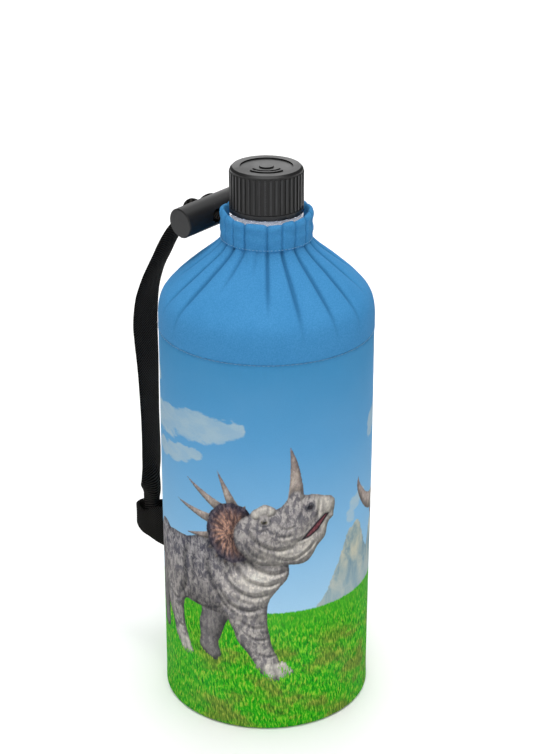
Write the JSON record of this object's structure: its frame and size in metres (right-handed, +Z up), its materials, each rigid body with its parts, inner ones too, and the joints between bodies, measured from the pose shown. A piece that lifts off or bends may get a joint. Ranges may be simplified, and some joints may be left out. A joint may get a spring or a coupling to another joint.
{
  "type": "insulated drinking bottle",
  "caption": "Glass drinking bottle in a foam cup and a gathered fabric cover, with a ribbed screw cap, a webbing carry strap and a toggle bar.",
  "frame": {"origin": "middle of the base, on the surface it stands on", "axes": "+Z up along the bottle's axis, +Y towards the side seam and the carry strap"},
  "size_m": [0.091, 0.1307, 0.2398],
  "materials": {
    "glass": "clear, polished",
    "printed_cloth": "printed woven softshell",
    "blue_cloth": "dyed woven softshell",
    "base_cloth": "coated black cloth",
    "thread": "sewing thread",
    "foam": "expanded bead foam",
    "elastic": "covered elastic band",
    "cap_plastic": "moulded black plastic",
    "liner": "soft sealing foam",
    "toggle_plastic": "turned black plastic",
    "webbing": "black twill webbing"
  },
  "bodies": {
    "cover": {"glass_bottle": "glass", "insulating_cup": "foam", "cover_body": "printed_cloth", "cover_base": "base_cloth", "base_seam": "thread", "cover_top": "blue_cloth", "shoulder_seam": "thread", "side_seam": "thread", "cover_collar": "blue_cloth", "collar_elastic": "elastic", "strap_tail": "webbing", "strap_knot": "webbing"},
    "cap_carrier": {"cap_liner": "liner"},
    "cap": {"screw_cap": "cap_plastic"},
    "toggle": {"toggle_bar": "toggle_plastic"},
    "strap": {"carry_strap": "webbing", "anchor_tab": "webbing"}
  },
  "joints": [
    {"name": "cap_lift", "type": "slide", "parent": "cover", "child": "cap_carrier", "axis": [0, 0, 1], "range_m": [0, 0.00954]},
    {"name": "cap_turn", "type": "hinge", "parent": "cap_carrier", "child": "cap", "pos_m": [0, 0, 0.23], "axis": [0, 0, 1], "range_deg": [0, 1080]},
    {"name": "toggle_twist", "type": "hinge", "parent": "cover", "child": "toggle", "pos_m": [-0.0058, 0.0286, 0.2145], "axis": [0, 1, 0], "range_deg": [-25, 25]},
    {"name": "strap_swing", "type": "hinge", "parent": "cover", "child": "strap", "pos_m": [0, 0.0466, 0.2082], "axis": [0, -0.0012, 1], "range_deg": [-65, 65]}
  ],
  "couplings": [
    {"joint": "cap_lift", "follows": "cap_turn", "m_per_rad": 0.00050611}
  ]
}
